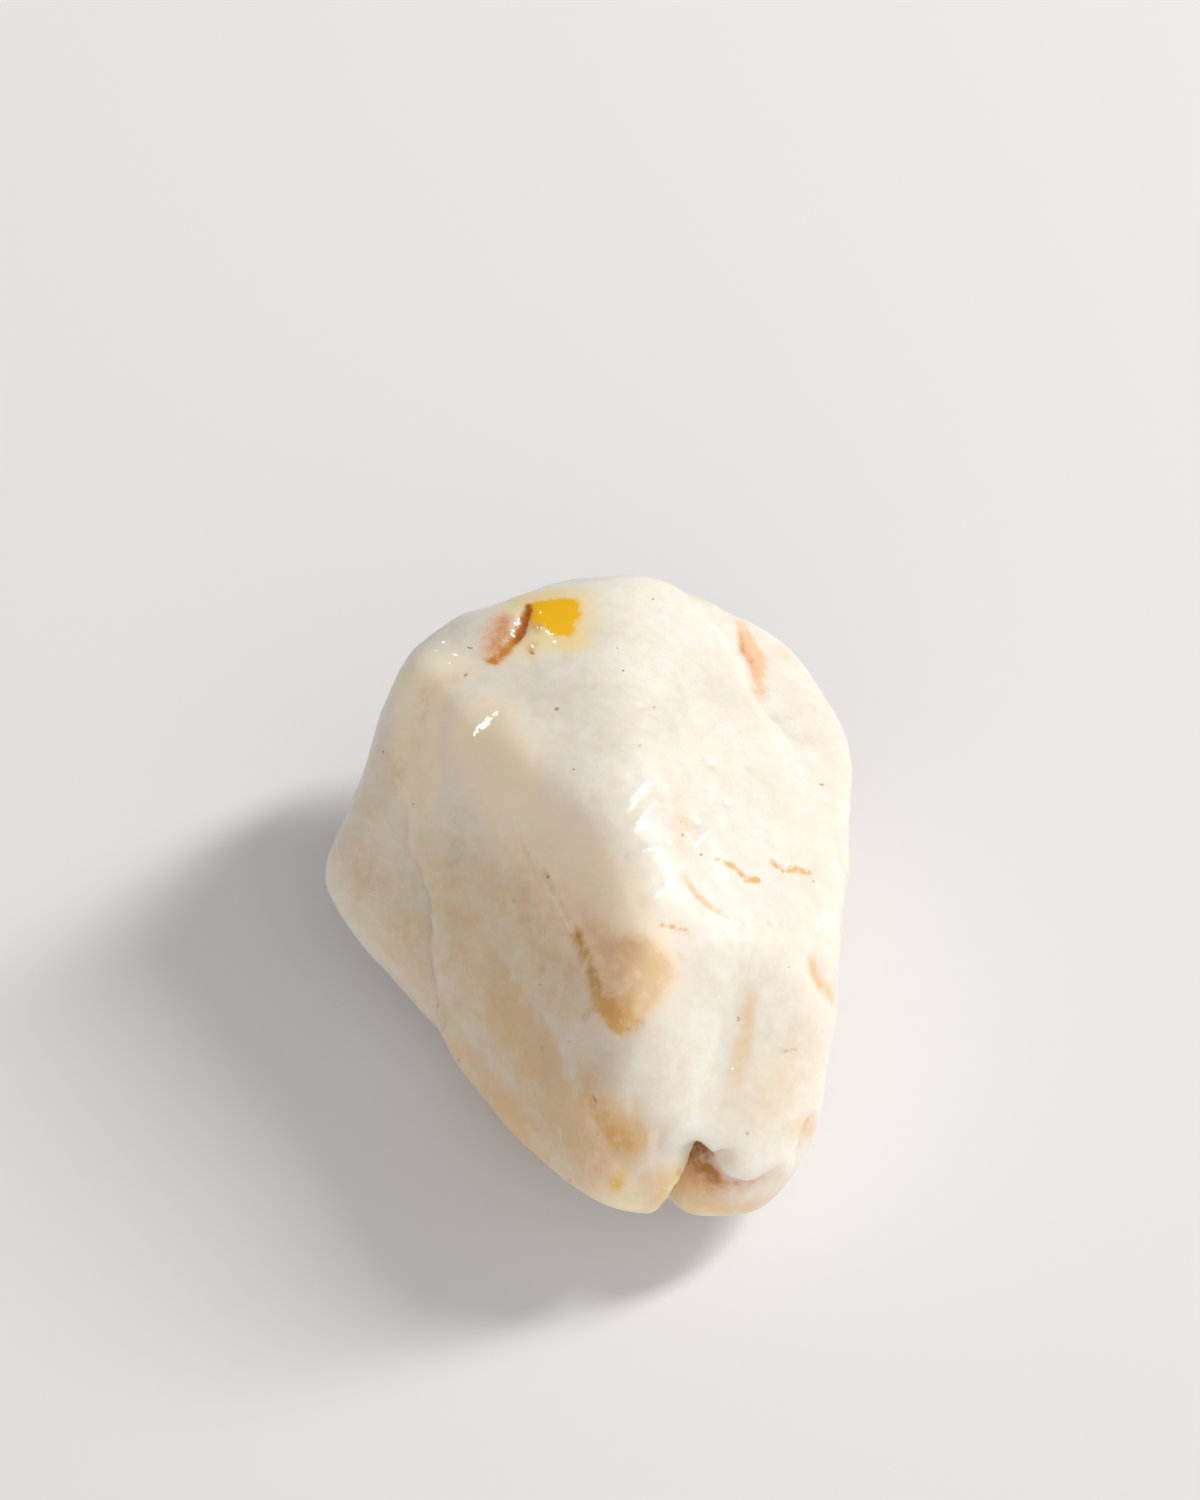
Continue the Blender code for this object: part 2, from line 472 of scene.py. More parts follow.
def swell(skin, crest, lengths, count, seed):
    """Soft unevenness: a few waves of this height that cross the stone in seeded directions."""
    random = np.random.default_rng(seed)
    height = np.zeros(len(skin))
    for _ in range(count):
        heading = random.normal(size=3)
        heading /= np.linalg.norm(heading)
        length = random.uniform(*lengths)
        height += np.sin(skin @ heading * math.tau / length + random.uniform(0, math.tau))
    return height * crest / math.sqrt(count)


ball = bmesh.new()
bmesh.ops.create_cube(ball, size=2)
bmesh.ops.subdivide_edges(ball, edges=ball.edges[:], cuts=PATCHES_ALONG_CUBE - 1, use_grid_fill=True)
directions = np.tan(np.array([vertex.co for vertex in ball.verts]) * math.pi / 4)
directions /= np.linalg.norm(directions, axis=1)[:, None]
radius = worn_radius(directions)
faces = directions * radius[:, None]
height = swell(faces, *SWELL)
for relief in RELIEF.values():
    height += rise(worn_radius, directions, *relief)
solid = directions * (radius + height)[:, None]
# The solid stands with the middle of its width and length over the origin, and so does the dressed stone.
middle = (solid.min(axis=0) + solid.max(axis=0)) / 2
height += swell(faces, *FINE_SWELL)
for wear in WEAR.values():
    height += rise(worn_radius, directions, *wear)
skin = directions * (radius + height)[:, None]
for vertex, point in zip(ball.verts, skin):
    vertex.co = (point[0] - middle[0], point[1] - middle[1], point[2] + HEART_HEIGHT)
cut = bmesh.ops.bisect_plane(
    ball,
    geom=ball.verts[:] + ball.edges[:] + ball.faces[:],
    plane_co=(0, 0, 0),
    plane_no=(0, 0, 1),
    clear_inner=True,
)
rim = [edge for edge in cut["geom_cut"] if isinstance(edge, bmesh.types.BMEdge)]
sole = bmesh.ops.contextual_create(ball, geom=rim)
bmesh.ops.triangulate(ball, faces=sole["faces"])
bmesh.ops.scale(ball, verts=ball.verts, vec=(MM, MM, MM))
bmesh.ops.recalc_face_normals(ball, faces=ball.faces)
stone_mesh = bpy.data.meshes.new("opal_stone")
ball.to_mesh(stone_mesh)
ball.free()
stone_mesh.shade_smooth()

# What colour the milk turns where a stain, or the painted glow that heads the list, is full, how far noise
# frays it and at what grain, and between which strengths it fades in. Its strokes are like those of the
# relief, with strengths for heights. Each lies over those above it in the list.
STAINS_AND_PAINTED_GLOW = {
    # Painted glow over the tan the stone has here: the shaded brow, upper left and beak are turned lighter
    # and warmer than the milk, to stand in for light that glows through the stone from its lit side.
    "tan_and_painted_glow": ((0.98, 0.82, 0.645), 0.6, 1.5, (0.0, 0.9), {
        "brow": (2.0, 2.2, (
            (150, 50, 0.7),
            (-170, 62, 0.6),
            (-126, 60, 0.8),
            (-97, 50, 0.9),
            (-85, 41, 0.9),
            (-79, 35, 0.7),
        )),
        "upper_left": (1.5, 1.5, (
            (135, 34, 0.5),
            (145, 30, 0.8),
            (160, 24, 0.6),
        )),
        "beak": (1.0, 1.2, (
            (-92, 3, 0.6),
            (-88, -3, 0.9),
            (-86, -7, 0.9),
        )),
    }),
    "tan": ((0.78, 0.58, 0.35), 1.0, 0.7, (0.0, 1.15), {
        "wash": (4.5, 4.5, (
            (170, 8, 0.3),
            (-150, 8, 0.42),
            (-115, 3, 0.4),
        )),
        "flank_upper": (3.0, 2.2, (
            (-172, 20, 0.35),
            (-148, 28, 0.45),
            (-120, 25, 0.5),
            (-102, 19, 0.48),
            (-95, 14, 0.25),
        )),
        "flank": (1.5, 3.0, (
            (150, 20, 0.1),
            (165, 13, 0.3),
            (-165, 14, 0.5),
            (-150, 14, 0.5),
            (-140, 8, 0.5),
            (-120, 5, 0.65),
            (-103, 3, 0.75),
            (-95, 1, 0.8),
            (-91, -1, 0.6),
            (-88, -5, 0.1),
        )),
        "nose": (1.5, 0.8, (
            (-99, 8, 0.3),
            (-93, 10, 0.5),
            (-88.5, 6, 0.75),
            (-85.5, 3.2, 0.85),
            (-88.5, 0.4, 0.5),
        )),
        "nose_side": (0.9, 0.9, (
            (-104, 6, 0.2),
            (-96, 3, 0.4),
            (-92, -1, 0.4),
        )),
        "brow_plateau": (0.8, 0.6, (
            (-88, 38.4, 0.7),
            (-76, 37, 0.8),
            (-72.5, 32.2, 0.9),
            (-79, 28.2, 0.9),
            (-85, 25, 0.8),
        )),
        "toe_under": (3.0, 3.0, (
            (-110, -45, 0.7),
            (-75, -50, 0.9),
            (-40, -45, 0.7),
        )),
        "flank_foot": (2.0, 2.0, (
            (-150, -14, 0.3),
            (-124, -19, 0.55),
            (-109, -16, 0.85),
            (-98, -13, 0.45),
            (-92, -9, 0.1),
        )),
        "brow": (1.0, 1.0, (
            (-160, 58, 0.1),
            (-126, 54, 0.25),
            (-102, 46, 0.35),
            (-90, 40, 0.5),
            (-82, 34, 0.6),
            (-81, 28, 0.4),
        )),
        "far_left": (1.8, 2.0, (
            (160, 6, 0.2),
            (175, -3, 0.35),
            (-165, -8, 0.45),
            (-150, -15, 0.35),
        )),
        "toe": (0.8, 1.6, (
            (-78, -4, 0.6),
            (-75, -9, 0.8),
            (-71, -11, 0.5),
            (-66, -13, 0.5),
            (-60, -14, 0.3),
        )),
        "lower_right": (0.6, 0.6, (
            (-55, -5, 0.3),
            (-51, -8, 0.6),
            (-49, -14, 0.45),
        )),
        "apron_low": (1.6, 1.6, (
            (-62, 2, 0.2),
            (-54, -1, 0.3),
            (-44, 2, 0.2),
        )),
        "right": (0.45, 0.25, (
            (-29.5, 9, 0.5),
            (-31.5, 4.5, 0.7),
            (-30, -1.5, 0.5),
        )),
        "apron": (0.4, 0.6, (
            (-46, 16.5, 0.2),
            (-51, 12.5, 0.45),
            (-54, 9, 0.5),
            (-58, 6, 0.5),
            (-64, 2.5, 0.25),
        )),
        "flake": (0.8, 0.8, (
            (5, 60, 0.2),
            (-15, 57, 0.3),
            (-27, 55, 0.25),
        )),
    }),
    "amber": ((0.88, 0.73, 0.42), 0.6, 1.0, (0.0, 1.0), {
        "crown_halo": (1.0, 1.0, (
            (110, 28, 0.4),
            (104, 28.5, 0.8),
            (95, 29.5, 0.5),
            (94, 34, 0.45),
            (98, 37, 0.8),
            (105, 36.5, 0.6),
            (118, 38, 0.3),
        )),
        "crown_gap": (0.6, 0.6, (
            (105.5, 30.5, 1.0),
            (104.5, 33, 1.0),
        )),
    }),
    "ochre": ((0.72, 0.45, 0.165), 1.7, 0.5, (0.05, 1.15), {
        "brow_streak": (0.36, 0.55, (
            (-103, 43, 0.1),
            (-97.2, 38.6, 0.6),
            (-92.4, 33.4, 0.5),
            (-89.8, 29.4, 0.75),
            (-88.4, 26, 0.8),
            (-84, 23.4, 0.85),
        )),
        "crown_gap": (0.4, 0.4, (
            (105, 31.5, 0.7),
            (105.5, 34.5, 0.6),
        )),
        "brow_pool": (0.6, 0.7, (
            (-90, 31, 0.3),
            (-87.5, 27, 0.6),
            (-82, 23.5, 0.7),
        )),
        "brow_spur": (0.25, 0.25, (
            (-88.5, 25, 0.6),
            (-92.5, 20.5, 0.5),
        )),
        "nose": (0.8, 0.6, (
            (-93, 8.5, 0.25),
            (-87.5, 4.4, 0.55),
            (-85.3, 3.2, 0.6),
        )),
        "right": (0.4, 0.25, (
            (-30, 8, 0.25),
            (-31.5, 4.5, 0.3),
        )),
    }),
    "umber": ((0.69, 0.52, 0.32), 1.5, 0.45, (0.05, 1.1), {
        "flank_top": (0.9, 0.9, (
            (-178, 26, 0.25),
            (-172, 20, 0.3),
        )),
        "flank_middle": (0.8, 1.0, (
            (-156, 12, 0.15),
            (-147, 3, 0.3),
        )),
        "flank_low": (1.0, 1.0, (
            (-127, 9, 0.3),
            (-119, 0, 0.2),
        )),
        "flank_front": (0.9, 0.9, (
            (-108, 9, 0.15),
            (-101, 1, 0.3),
        )),
        "far_left": (0.8, 1.0, (
            (158, 18, 0.3),
            (166, 2, 0.2),
            (175, -4, 0.3),
        )),
        "left_speckle": (0.7, 0.7, (
            (130, 38, 0.2),
            (141, 34, 0.25),
            (152, 27, 0.2),
        )),
        "crease": (0.25, 0.5, (
            (-150, 56, 0.25),
            (-125, 54, 0.35),
            (-104, 44, 0.4),
        )),
    }),
    "salmon": ((0.83, 0.56, 0.36), 1.6, 0.5, (0.1, 1.0), {
        "crown": (0.9, 0.9, (
            (113.5, 31.5, 0.45),
            (116.5, 33.5, 0.5),
            (119.5, 35.8, 0.45),
        )),
        "back_crease": (0.35, 0.5, (
            (63, 5, 0.45),
            (60, 5.5, 0.9),
            (57, 5, 0.9),
            (53, 6, 0.6),
            (49, 7, 0.25),
        )),
        "back": (0.6, 0.6, (
            (55, 1, 0.3),
            (52, -1, 0.25),
        )),
        "hooked_vein": (0.2, 0.14, (
            (-45, 48.5, 0.5),
            (-46, 45, 0.7),
            (-46, 42, 0.8),
            (-44, 37, 0.7),
            (-41, 32.5, 0.5),
        )),
        "slope_line": (0.12, 0.12, (
            (52, 17, 0.1),
            (39, 24, 0.2),
            (30, 23, 0.1),
        )),
    }),
    "orange": ((0.68, 0.29, 0.05), 1.1, 0.35, (0.05, 1.15), {
        "crown": (0.45, 0.45, (
            (112.5, 31, 0.4),
            (114.5, 33.5, 0.48),
            (118.5, 35.6, 0.45),
            (121, 36.4, 0.35),
        )),
        "crown_band": (0.22, 0.25, (
            (110.5, 34.5, 0.8),
            (113, 36, 0.9),
            (117, 37.6, 0.95),
            (121.3, 38.4, 0.9),
            (122.7, 37.8, 0.6),
        )),
        "crown_fleck": (0.3, 0.3, (
            (110, 39, 0.35),
            (108.5, 38, 0.35),
        )),
        "crease": (0.12, 0.4, (
            (62, 6, 0.35),
            (59.5, 6.5, 0.5),
            (57, 6, 0.45),
            (54.5, 6, 0.3),
        )),
        "cleft": (0.5, 0.6, (
            (-74, -4.5, 0.45),
            (-72, -7, 0.5),
            (-69.5, -8, 0.4),
        )),
        "lip": (0.2, 0.4, (
            (-69, -8, 0.5),
            (-66, -8.6, 0.35),
            (-62.5, -9.3, 0.25),
            (-59, -10.5, 0.15),
        )),
    }),
    "yellow": ((0.93, 0.54, 0.01), 1.3, 0.45, (0.15, 0.9), {
        "crown": (0.42, 0.42, (
            (104.6, 30.8, 0.85),
            (104, 32.6, 0.7),
            (102.3, 30.5, 0.95),
            (96, 31, 1.0),
            (96.5, 33, 1.0),
            (101.8, 32.2, 0.9),
            (100.2, 35.2, 0.95),
            (98.3, 35.5, 0.9),
        )),
        "nose": (0.45, 0.45, (
            (-85.6, -2.6, 0.3),
            (-86.5, -4.4, 0.33),
        )),
    }),
    "vein": ((0.78, 0.46, 0.18), 2.6, 0.3, (0.15, 1.1), {
        "long": (0.17, 0.17, (
            (-23, 41.5, 0.6),
            (-21.5, 38, 0.8),
            (-20.5, 35, 0.6),
            (-22, 31, 0.9),
            (-18.5, 26.5, 0.8),
        )),
        "short": (0.16, 0.16, (
            (-7.5, 22, 0.6),
            (-8.5, 18.5, 0.85),
            (-6, 15, 0.8),
            (-4.5, 10.5, 0.5),
        )),
        "ticks": (0.14, 0.14, (
            (-65.5, 42, 0.5),
            (-62.5, 40.5, 0.5),
            (-57.5, 37.5, 0.4),
        )),
    }),
    "rust": ((0.50, 0.15, 0.012), 1.1, 0.3, (0.1, 1.1), {
        "apron_hair": (0.08, 0.08, (
            (-48.9, 3.1, 0.4),
            (-45.5, 1.5, 0.4),
        )),
        "nose_hair": (0.08, 0.08, (
            (-80.5, 5.5, 0.3),
            (-81, 3, 0.3),
        )),
        "crown_groove": (0.18, 0.18, (
            (105.5, 29.5, 0.85),
            (107, 31, 1.0),
            (109, 33, 1.0),
            (111.6, 35.2, 0.85),
            (113.5, 36.3, 0.4),
        )),
    }),
    "brown": ((0.52, 0.24, 0.055), 1.9, 0.4, (0.1, 1.2), {
        "brow_line": (0.38, 0.5, (
            (-99, 40.5, 0.15),
            (-96.6, 38, 0.48),
            (-93.6, 34.6, 0.3),
            (-90.6, 32, 0.36),
            (-89.4, 28, 0.3),
            (-86.6, 25.2, 0.2),
        )),
        "cleft": (0.35, 0.35, (
            (-70.3, -4.5, 0.85),
            (-70.9, -5.6, 0.9),
        )),
        "cleft_foot": (0.26, 0.22, (
            (-71.5, -7, 0.5),
            (-69.8, -7.4, 0.95),
        )),
        "cleft_band": (0.2, 0.3, (
            (-76, -4, 0.3),
            (-74, -5.5, 0.4),
            (-71.5, -7.4, 0.45),
        )),
    }),
}
# Specks of rust: how far each spreads and runs, then the bearing, tilt and strength of the larger ones.
SPECK_SPREAD = 0.09
SPECK_RUN = 0.2
SPECKS = (
    (131.3, 38.2, 0.7), (110.9, 56.9, 0.7), (24.5, 4, 0.8), (82.8, 38.2, 0.4), (-54.5, 12.2, 0.7),
    (-26.7, 47.4, 0.6), (-23.4, 55.9, 0.6), (-90.1, 8.2, 0.8), (-62.5, -2.1, 0.6), (52.3, 65.1, 0.45),
    (-122, 54, 0.7), (124.1, 33.3, 0.8), (109.9, 39.6, 0.8),
)
SPECK_COLOUR = (0.52, 0.32, 0.14)
SPECK_FADE = (0.2, 0.8)
DOT_FRAYING = 0.8
DOT_GRAIN = 0.15
# Pepper and sparks: the spacing of their cells, their radius, and the share of cells that have one.
PEPPER = (1.1, 0.07, 0.35)
PEPPER_COLOUR = (0.50, 0.34, 0.18)
PEPPER_FADE = (0.0, 1.0)
SPARKS = (1.3, 0.06, 0.3)
DOT_CORE = 0.4
# Tiny flat breaks that all face one way, so that they flash together: on steps of the brow and cheek, in
# the flake's scar, round the crown's pit and on the shoulder.
GLINT_FACING = (-14, 62.5)
GLINTS = {
    "brow_step": (0.14, 0.14, (
        (136.6, 49.1, 2.0),
        (142.1, 48.7, 2.5),
        (146.9, 46.4, 1.6),
    )),
    "plate_edge": (0.07, 0.07, (
        (-168.5, 13, 0.7),
        (-169.5, 10, 0.6),
    )),
    "cheek_spark": (0.09, 0.09, (
        (-171.9, -0.4, 0.8),
        (-171.5, 0, 0.8),
    )),
    "brow_hook": (0.1, 0.1, (
        (146.9, 46.4, 0.9),
        (146, 45.4, 0.9),
    )),
    "flake_high": (0.17, 0.17, (
        (-40, 75.8, 0.7),
        (-15, 76.2, 0.9),
        (12, 71.6, 0.6),
    )),
    "flake_low": (0.17, 0.17, (
        (-50, 69.5, 0.9),
        (-37.5, 70.3, 0.9),
        (-10, 69.2, 0.6),
    )),
    "flake_arc": (0.08, 0.08, (
        (15, 69, 0.5),
        (17.7, 67.4, 0.55),
        (21.7, 60.8, 0.5),
    )),
    "flake_front": (0.1, 0.1, (
        (-56.7, 62.3, 0.8),
        (-47.8, 60.8, 0.8),
    )),
    "chain_left": (0.16, 0.16, (
        (-64, 48.6, 0.6),
        (-58, 49.8, 0.8),
    )),
    "chain_middle": (0.17, 0.17, (
        (-53.5, 51, 0.9),
        (-50.5, 51.8, 0.7),
    )),
    "chain_right": (0.09, 0.09, (
        (-43.5, 51.2, 0.7),
        (-39.5, 50.2, 0.8),
    )),
    "flake_side": (0.16, 0.16, (
        (-21.5, 50, 0.9),
        (-11.5, 47.2, 0.7),
    )),
    "groove_side": (0.1, 0.1, (
        (107.8, 30.6, 1.4),
        (110.4, 32.8, 1.5),
        (112.9, 34.4, 1.4),
    )),
    "crown_curl": (0.09, 0.09, (
        (105.5, 34.6, 1.1),
        (104, 35.2, 1.1),
        (102.1, 36.6, 1.1),
        (102.4, 38.2, 1.1),
    )),
    "crown_hook": (0.09, 0.09, (
        (108.6, 37.4, 1.1),
        (108.8, 38.8, 1.1),
    )),
    "crown_dots": (0.09, 0.09, (
        (103.6, 31.6, 1.1),
        (103.8, 32.4, 1.1),
    )),
    "shoulder_left": (0.1, 0.1, (
        (131.2, 30, 1.1),
        (130.6, 30.6, 1.1),
    )),
    "shoulder_top": (0.1, 0.1, (
        (127.7, 29.2, 1.1),
        (127.9, 29.9, 1.1),
    )),
    "shoulder_right": (0.1, 0.1, (
        (128.8, 33.3, 1.1),
        (129.6, 33.1, 1.1),
    )),
    "shoulder_low": (0.1, 0.1, (
        (131.9, 33.9, 1.1),
        (131.5, 34.5, 1.1),
    )),
}


def strength(strokes):
    """How strongly these strokes mark each point of the stone."""
    marks = [rise(worn_radius, outward, *stroke) for stroke in strokes]
    return np.max(marks, axis=0)


def mark_skin(name, strengths):
    """Keep how strongly each point of the skin is marked, for the material to read."""
    attribute = stone_mesh.attributes.new(name, "FLOAT", "POINT")
    attribute.data.foreach_set("value", strengths)


outward = np.empty(len(stone_mesh.vertices) * 3)
stone_mesh.vertices.foreach_get("co", outward)
outward = outward.reshape(-1, 3) / MM + (middle[0], middle[1], -HEART_HEIGHT)
outward /= np.linalg.norm(outward, axis=1)[:, None]
for name, (_, _, _, _, strokes) in STAINS_AND_PAINTED_GLOW.items():
    mark_skin(name, strength(strokes.values()))
specks = [
    (SPECK_SPREAD, SPECK_SPREAD, ((bearing, tilt, dark), (bearing + SPECK_RUN, tilt + SPECK_RUN, dark)))
    for bearing, tilt, dark in SPECKS
]
mark_skin("speck", strength(specks))
mark_skin("glint", strength(GLINTS.values()))


def new_node(tree, kind, operation=None, **feeds):
    """A node of this tree, with its operation and the value or the socket that feeds each of its inputs.

    An input is called by its name, with _ for a space, or by its number after one _.
    """
    made = tree.nodes.new(kind)
    if operation:
        made.operation = operation
    for called, feed in feeds.items():
        socket = made.inputs[int(called[1:]) if called[1:].isdigit() else called.replace("_", " ")]
        if isinstance(feed, bpy.types.NodeSocket):
            tree.links.new(feed, socket)
        else:
            socket.default_value = feed
    return made


# One stain, or the painted glow, laid over the skin: its strength is frayed by noise, then fades the colour
# below into its own.
FRAY_DETAIL = 6
FRAY_HARSHNESS = 0.65
FRAY_STRETCH = 3
FRAY_LIFT = 0.5
painted_glow_and_stain = bpy.data.node_groups.new("painted_glow_and_stain", "ShaderNodeTree")
for socket, kind in (
    ("Below", "NodeSocketColor"), ("Stain", "NodeSocketColor"), ("Strength", "NodeSocketFloat"),
    ("Place", "NodeSocketVector"), ("Grain", "NodeSocketFloat"), ("Fraying", "NodeSocketFloat"),
    ("Faint", "NodeSocketFloat"), ("Full", "NodeSocketFloat"),
):
    painted_glow_and_stain.interface.new_socket(socket, in_out="INPUT", socket_type=kind)
painted_glow_and_stain.interface.new_socket("Colour", in_out="OUTPUT", socket_type="NodeSocketColor")
given = painted_glow_and_stain.nodes.new("NodeGroupInput").outputs
result = painted_glow_and_stain.nodes.new("NodeGroupOutput").inputs
fray = new_node(
    painted_glow_and_stain, "ShaderNodeTexNoise",
    Vector=given["Place"], Scale=given["Grain"], Detail=FRAY_DETAIL, Roughness=FRAY_HARSHNESS,
)
centred = new_node(
    painted_glow_and_stain, "ShaderNodeMath", "MULTIPLY_ADD", _0=fray.outputs["Fac"], _1=FRAY_STRETCH, _2=-FRAY_STRETCH / 2,
)
frayed = new_node(
    painted_glow_and_stain, "ShaderNodeMath", "MULTIPLY_ADD", _0=centred.outputs[0], _1=given["Fraying"], _2=FRAY_LIFT,
)
torn = new_node(
    painted_glow_and_stain, "ShaderNodeMath", "MULTIPLY_ADD",
    _0=frayed.outputs[0], _1=given["Strength"], _2=given["Strength"],
)
fade = new_node(
    painted_glow_and_stain, "ShaderNodeMapRange",
    Value=torn.outputs[0], From_Min=given["Faint"], From_Max=given["Full"],
)
fade.interpolation_type = "SMOOTHSTEP"
over = painted_glow_and_stain.nodes.new("ShaderNodeMix")
over.data_type = "RGBA"
for start, end in (
    (fade.outputs["Result"], over.inputs["Factor"]),
    (given["Below"], over.inputs["A"]),
    (given["Stain"], over.inputs["B"]),
    (over.outputs["Result"], result["Colour"]),
):
    painted_glow_and_stain.links.new(start, end)

milk = bpy.data.materials.new("milky opal")
milk.use_nodes = True
skin_tree = milk.node_tree
shader = skin_tree.nodes["Principled BSDF"]
place = new_node(skin_tree, "ShaderNodeTexCoord").outputs["Object"]


def per_mm(size):
    """The texture scale that gives features of this size in millimetres."""
    return 1 / (size * MM)


def marked(name):
    """How strongly each point of the skin has the mark of this name."""
    mark = new_node(skin_tree, "ShaderNodeAttribute")
    mark.attribute_name = name
    return mark.outputs["Fac"]


def lay(below, tint, amount, fraying, grain, faint, full):
    """The colour below with a stain, or the painted glow, laid over it, this strongly at each point."""
    laid = skin_tree.nodes.new("ShaderNodeGroup")
    laid.node_tree = painted_glow_and_stain
    for socket, source in (("Below", below), ("Strength", amount), ("Place", place)):
        skin_tree.links.new(source, laid.inputs[socket])
    for socket, value in (
        ("Stain", (*tint, 1)), ("Grain", per_mm(grain)), ("Fraying", fraying),
        ("Faint", faint), ("Full", full),
    ):
        laid.inputs[socket].default_value = value
    return laid.outputs["Colour"]


def dots(spacing, radius, share):
    """A mask of round dots of this radius, in a share of the cells of this spacing."""
    cells = new_node(skin_tree, "ShaderNodeTexVoronoi", Vector=place, Scale=per_mm(spacing))
    disc = new_node(
        skin_tree, "ShaderNodeMapRange", Value=cells.outputs["Distance"],
        From_Min=DOT_CORE * radius / spacing, From_Max=radius / spacing, To_Min=1.0, To_Max=0.0,
    )
    draw = new_node(skin_tree, "ShaderNodeSeparateColor", Color=cells.outputs["Color"])
    chosen = new_node(skin_tree, "ShaderNodeMath", "LESS_THAN", _0=draw.outputs["Red"], _1=share)
    kept = new_node(
        skin_tree, "ShaderNodeMath", "MULTIPLY", _0=disc.outputs["Result"], _1=chosen.outputs[0],
    )
    return kept.outputs[0]


# Clouds in the milk, whiter and warmer, and its fine mottle: how large each is, how much detail it has and
# how harsh that is, then the two whites and where one turns into the other.
CLOUDS = (3.0, 3.0, 0.6)
MOTTLE = (0.55, 5.0, 0.7)
WHITE_MILK = (0.845, 0.815, 0.75, 1)
WARM_MILK = (0.76, 0.708, 0.60, 1)
MILK_TURNS = (0.75, 1.25)
# The polish: how large and deep its unevenness is, then its roughness between the glints and on them.
POLISH_GRAIN = 0.3
POLISH_DETAIL = 4.0
POLISH_DEPTH = 0.012
SKIN_ROUGHNESS = 0.36
GLINT_ROUGHNESS = 0.15
# How the glints are chipped, and how strong a glint has to be to face its own way.
CHIPPING = (0.25, 4.0, 0.7)
CHIPPED_AWAY = (0.42, 0.62)
GLINT_SHOWS = (0.25, 0.6)
# How the opal bends light, and how far each colour of it sinks in.
BENDING = 1.45
SINKING = (1.0, 0.6, 0.35)
SINKING_DEPTH = 2.6


def noise(size, detail, harshness):
    """Noise over the stone, with features of this size."""
    made = new_node(
        skin_tree, "ShaderNodeTexNoise",
        Vector=place, Scale=per_mm(size), Detail=detail, Roughness=harshness,
    )
    return made.outputs["Fac"]


def ramp(value, start, end):
    """What share of the way from the start to the end this value has come."""
    made = new_node(skin_tree, "ShaderNodeMapRange", Value=value, From_Min=start, From_Max=end)
    return made.outputs["Result"]


clouded = new_node(skin_tree, "ShaderNodeMath", "ADD", _0=noise(*CLOUDS), _1=noise(*MOTTLE))
milky = skin_tree.nodes.new("ShaderNodeMix")
milky.data_type = "RGBA"
skin_tree.links.new(ramp(clouded.outputs[0], *MILK_TURNS), milky.inputs["Factor"])
milky.inputs["A"].default_value = WHITE_MILK
milky.inputs["B"].default_value = WARM_MILK
colour = milky.outputs["Result"]
for name, (tint, fraying, grain, (faint, full), _) in STAINS_AND_PAINTED_GLOW.items():
    colour = lay(colour, tint, marked(name), fraying, grain, faint, full)
colour = lay(colour, SPECK_COLOUR, marked("speck"), DOT_FRAYING, DOT_GRAIN, *SPECK_FADE)
colour = lay(colour, PEPPER_COLOUR, dots(*PEPPER), DOT_FRAYING, DOT_GRAIN, *PEPPER_FADE)
skin_tree.links.new(colour, shader.inputs["Base Color"])

# A fine unevenness of the polish, broken by the glints' flat faces.
polish = new_node(
    skin_tree, "ShaderNodeTexNoise", Vector=place, Scale=per_mm(POLISH_GRAIN), Detail=POLISH_DETAIL,
)
bump = new_node(
    skin_tree, "ShaderNodeBump", Strength=1.0, Distance=POLISH_DEPTH * MM, Height=polish.outputs["Fac"],
)
glint = new_node(
    skin_tree, "ShaderNodeMath", "MULTIPLY",
    _0=marked("glint"), _1=ramp(noise(*CHIPPING), *CHIPPED_AWAY),
)
bright = new_node(skin_tree, "ShaderNodeMath", "MAXIMUM", _0=glint.outputs[0], _1=dots(*SPARKS))
flat = ramp(bright.outputs[0], *GLINT_SHOWS)
faced = skin_tree.nodes.new("ShaderNodeMix")
faced.data_type = "VECTOR"
skin_tree.links.new(flat, faced.inputs["Factor"])
# The fifth and sixth inputs of a mix are its two vectors, and the second output is the mixed one.
skin_tree.links.new(bump.outputs["Normal"], faced.inputs[4])
faced.inputs[5].default_value = facing(*GLINT_FACING)
skin_tree.links.new(faced.outputs[1], shader.inputs["Normal"])
worn = new_node(
    skin_tree, "ShaderNodeMapRange", Value=flat, To_Min=SKIN_ROUGHNESS, To_Max=GLINT_ROUGHNESS,
)
skin_tree.links.new(worn.outputs["Result"], shader.inputs["Roughness"])
shader.inputs["IOR"].default_value = BENDING
shader.inputs["Subsurface Weight"].default_value = 1.0
shader.inputs["Subsurface Radius"].default_value = SINKING
shader.inputs["Subsurface Scale"].default_value = SINKING_DEPTH * MM
stone_mesh.materials.append(milk)
stone = bpy.data.objects.new("opal_stone", stone_mesh)
scene.collection.objects.link(stone)

# Round pits left where grains fell out, pressed into the skin round points that are strewn over it: how
# many to a square millimetre, the widest and deepest of them, what share of those the smallest has, and the
# height over which they fade in above the flat sole.
PIT_CROWDING = 0.14
PIT_RADIUS = 0.42
PIT_DEPTH = 0.07
PIT_SMALLEST = 0.35
PIT_MARGIN = 0.6
PIT_SEED = 11

